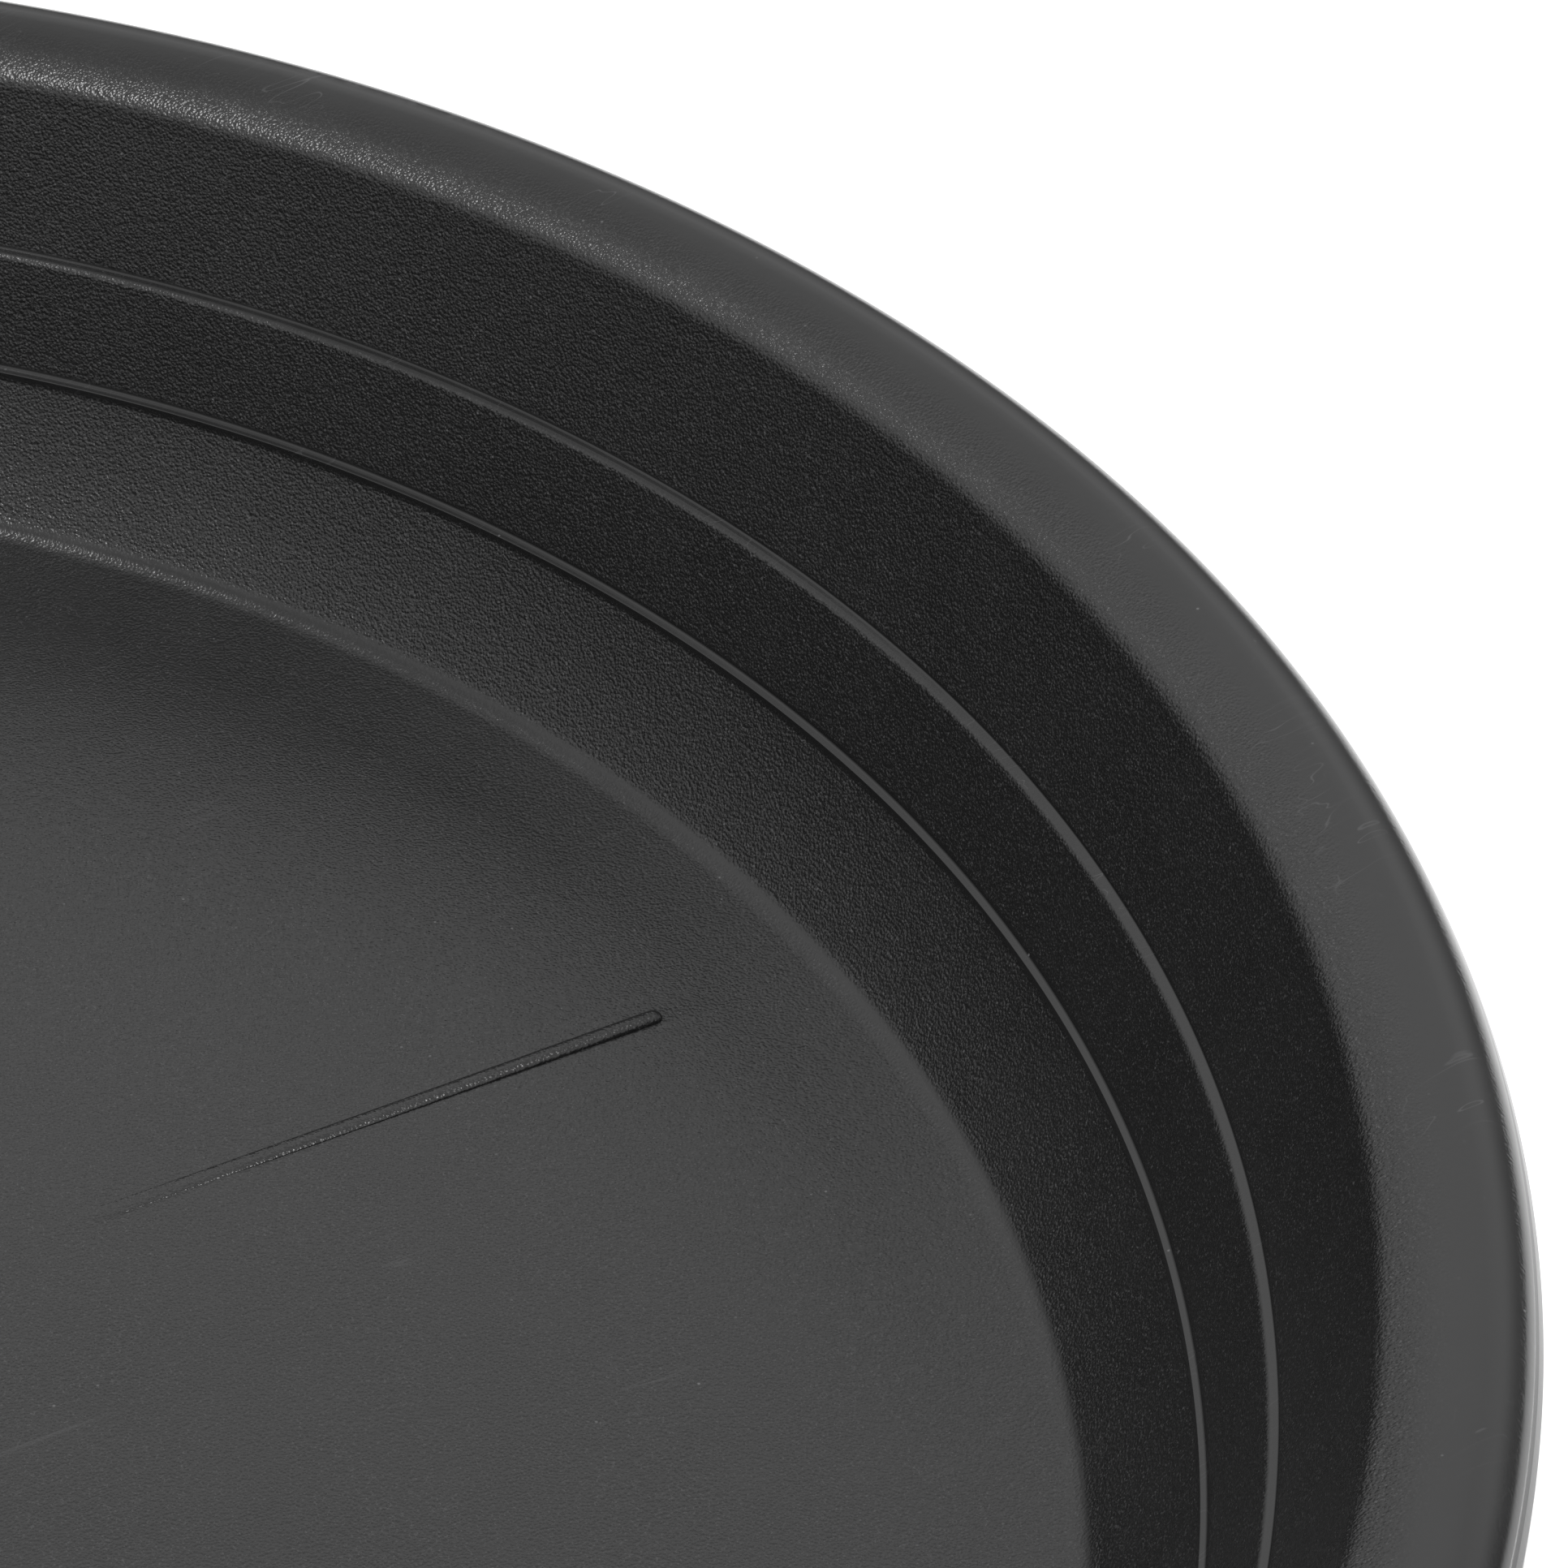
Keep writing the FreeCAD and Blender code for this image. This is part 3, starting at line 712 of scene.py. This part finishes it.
def dust_specks(shader):
    """Tiny round specks in a few of the cells, gathered in patches."""
    speck = shader.between(shader.cells(420), 0.05, 0.12, 1.0, 0.0)
    picked = shader.between(shader.cells(420, output="Color"), 0.80, 0.82)
    patches = shader.between(shader.noise(40, 2.0), 0.42, 0.62)
    return shader.times(shader.times(speck, picked), patches)


def rim_smudge(shader, azimuth, radius):
    """A faint mottled smear on the rim's outer top, over some 17 degrees."""
    away = shader.math("ABSOLUTE", shader.math("SUBTRACT", azimuth, math.radians(121.5)))
    along = shader.between(away, 0.05, 0.15, 1.0, 0.0)
    across = shader.between(radius, 0.2925, 0.2955)
    mottled = shader.between(shader.noise(420, 4.0, 0.7), 0.48, 0.62)
    return shader.times(shader.times(along, across), mottled)


def pan_material():
    """Black moulded plastic: grained walls, a faintly grained floor, smooth ledges and rim."""
    shader = Shader("pan_grained_plastic")
    x, y, z = shader.split()
    radius = shader.math("SQRT", shader.add(shader.times(x, x), shader.times(y, y)))
    azimuth = shader.math("ARCTAN2", y, x)
    walls = shader.steps(
        shader.math("DIVIDE", z, GRAIN_REACH * MM),
        [(height / GRAIN_REACH, share) for height, share in WALL_GRAIN],
    )
    floor = shader.between(z, 0.0048, 0.0058, 1.0, 0.0)
    inside = shader.between(radius, 0.2965, 0.2975, 1.0, 0.0)
    grain_share = shader.times(shader.largest(walls, shader.times(floor, FLOOR_GRAIN)), inside)
    smooth_share = shader.math("SUBTRACT", 1.0, shader.math("MINIMUM", grain_share, 1.0))

    grain = shader.bump(leather(shader), 0.00013, grain_share)
    flow = shader.bump(shader.noise(24, 3.0, 0.55), 0.0004, 0.25, grain)
    normal = shader.bump(shader.noise(900, 3.0, 0.6), 0.00002, 0.6, flow)

    hairlines = shader.largest(
        scratches(shader, 320, 0.006, (0.2, 0.1, 0.6)),
        scratches(shader, 280, 0.006, (0.1, 0.3, 2.1)),
    )
    hairlines = shader.times(hairlines, smooth_share)
    film = shader.between(shader.noise(55, 5.0, 0.65), 0.45, 0.75, 0.0, 0.35)
    # Painted highlights: pale specks put into the base colour on the grain, standing in for the
    # glints its pebble tops would catch.
    painted_glints = shader.times(shader.between(shader.noise(2600, 2.0, 0.6), 0.56, 0.74), grain_share)

    # The share of pale grey holds real dust specks, hairline scratches, the rim smear and a film. On
    # the grain it also holds the painted highlight specks.
    pale_share = shader.largest(shader.times(dust_specks(shader), 0.25), shader.times(hairlines, 0.10))
    pale_share = shader.largest(pale_share, shader.times(rim_smudge(shader, azimuth, radius), 0.16))
    pale_share = shader.add(pale_share, shader.times(film, 0.02))
    pale_share = shader.largest(pale_share, shader.times(painted_glints, 0.17))
    color = shader.mix(pale_share, grey(0.003), grey(0.20))
    rough = shader.add(0.20, shader.times(grain_share, 0.07))
    rough = shader.add(rough, shader.times(film, 0.08))
    rough = shader.add(rough, shader.times(pale_share, 0.5))
    return shader.set(color=color, roughness=rough, normal=normal, ior=1.5)


def wire_material():
    """Drawn zinc-plated wire with a dull stain."""
    shader = Shader("zinc_wire")
    drawn = shader.noise(900, 2.0, 0.5, shader.stretched((1, 0.03, 1)))
    spangle = shader.cells(240, output="Color")
    stain = shader.noise(70, 4.0, 0.6)
    bright, dull = (0.60, 0.61, 0.62, 1), (0.34, 0.34, 0.33, 1)
    color = shader.mix(shader.between(stain, 0.45, 0.7), bright, dull)
    rough = shader.add(0.28, shader.times(stain, 0.2))
    rough = shader.add(rough, shader.times(spangle, 0.08))
    normal = shader.bump(drawn, 0.00003, 0.5)
    return shader.set(color=color, roughness=rough, normal=normal, metallic=1.0)


def moulded_material(name, base, rough_base, grain_scale, grain_depth):
    """A plain moulded plastic or rubber skin with a fine grain, worn and dusty in places."""
    shader = Shader(name)
    grain = shader.cells(grain_scale, "SMOOTH_F1", smooth=0.4)
    mottled = shader.noise(160, 4.0, 0.6)
    rubbed = shader.between(shader.noise(45, 3.0, 0.6), 0.5, 0.72)
    lines = scratches(shader, 500, 0.008, (0.3, 0.2, 0.9))
    pale_share = shader.add(shader.times(rubbed, 0.04), shader.times(lines, 0.2))
    color = shader.mix(pale_share, grey(base), grey(0.32))
    rough = shader.add(rough_base, shader.times(mottled, 0.16))
    rough = shader.add(rough, shader.times(lines, 0.2))
    normal = shader.bump(mottled, 0.00005, 0.3, shader.bump(grain, grain_depth, 0.6))
    return shader.set(color=color, roughness=rough, normal=normal, ior=1.5)


def floor_material():
    """The plain pale studio floor."""
    shader = Shader("studio_floor")
    tone = shader.between(shader.noise(6, 3.0), 0.3, 0.7, 0.80, 0.82)
    node = shader.nodes.new("ShaderNodeCombineColor")
    for socket in node.inputs:
        shader.links.new(tone, socket)
    normal = shader.bump(shader.noise(300, 3.0), 0.0002, 0.1)
    return shader.set(color=node.outputs[0], roughness=0.8, normal=normal)


# ---------------------------------------------------------------- build

plastic = pan_material()
wire = wire_material()
grip_plastic = moulded_material("grip_plastic", 0.022, 0.42, 1500, 0.00006)
cap_plastic = moulded_material("cap_plastic", 0.022, 0.36, 1700, 0.00004)
strainer_plastic = moulded_material("strainer_plastic", 0.04, 0.40, 1700, 0.00003)
rubber = moulded_material("seal_rubber", 0.03, 0.62, 2000, 0.00003)

build_pan(plastic)
for side, across in (("right", PIVOT_X), ("left", -PIVOT_X)):
    build_bail(side, across, wire)
    build_grip(side, across, grip_plastic)
build_cap(cap_plastic)
build_seal(rubber)
build_strainer(strainer_plastic)

# ---------------------------------------------------------------- floor, light and camera


FLOOR_HALF = 6.0

# The sine of the elevation and the sky's brightness there.
SKY = [(0.0, 0.08), (0.17, 0.34), (0.34, 0.66), (0.54, 1.25), (0.7, 1.25), (0.87, 0.62), (1.0, 0.8)]
SKY_MAX = 2.0

# The camera was placed by matching the rings of the pan with those in the reference picture.
CAMERA_PLACE = (0.63547, -0.18342, 0.62008)
CAMERA_RIGHT = (0.52912, 0.84770, 0.03765)
CAMERA_BACK = (0.66252, -0.44044, 0.60587)
CAMERA_SENSOR, CAMERA_LENS = 36.0, 147.56


def studio_floor():
    mesh = bpy.data.meshes.new("studio_floor")
    half = FLOOR_HALF
    corners = [(-half, -half, 0), (half, -half, 0), (half, half, 0), (-half, half, 0)]
    mesh.from_pydata(corners, [], [(0, 1, 2, 3)])
    floor = bpy.data.objects.new("studio_floor", mesh)
    bpy.context.scene.collection.objects.link(floor)
    mesh.materials.append(floor_material())


def soft_light(name, place, aim, size, power):
    data = bpy.data.lights.new(name, "AREA")
    data.shape = "RECTANGLE"
    data.size, data.size_y = size, size
    data.energy = power
    lamp = bpy.data.objects.new(name, data)
    lamp.location = place
    lamp.rotation_mode = "QUATERNION"
    lamp.rotation_quaternion = (Vector(aim) - Vector(place)).to_track_quat("-Z", "Y")
    bpy.context.scene.collection.objects.link(lamp)


def studio_world():
    """A sky whose brightness depends on the elevation only."""
    world = bpy.data.worlds.new("studio_world")
    bpy.context.scene.world = world
    world.use_nodes = True
    nodes, links = world.node_tree.nodes, world.node_tree.links
    background = nodes["Background"]
    place = nodes.new("ShaderNodeTexCoord").outputs["Generated"]
    split = nodes.new("ShaderNodeSeparateXYZ")
    links.new(place, split.inputs[0])
    ramp = nodes.new("ShaderNodeValToRGB")
    links.new(split.outputs["Z"], ramp.inputs["Fac"])
    fill_ramp(ramp.color_ramp, [(sine, level / SKY_MAX) for sine, level in SKY])
    links.new(ramp.outputs["Color"], background.inputs["Color"])
    background.inputs["Strength"].default_value = SKY_MAX


def studio_camera():
    data = bpy.data.cameras.new("camera")
    data.sensor_width = CAMERA_SENSOR
    data.lens = CAMERA_LENS
    data.clip_start, data.clip_end = 0.05, 50
    camera = bpy.data.objects.new("camera", data)
    right = Vector(CAMERA_RIGHT).normalized()
    back = Vector(CAMERA_BACK).normalized()
    up = back.cross(right).normalized()
    right = up.cross(back)
    turn = Matrix((right, up, back)).transposed()
    camera.matrix_world = Matrix.Translation(CAMERA_PLACE) @ turn.to_4x4()
    bpy.context.scene.collection.objects.link(camera)
    bpy.context.scene.camera = camera


studio_floor()
soft_light("overhead_softbox", (0.22, -0.03, 1.9), (-0.05, 0.07, 0), 0.9, 58)
studio_world()
studio_camera()
bpy.context.scene.view_settings.view_transform = "Standard"
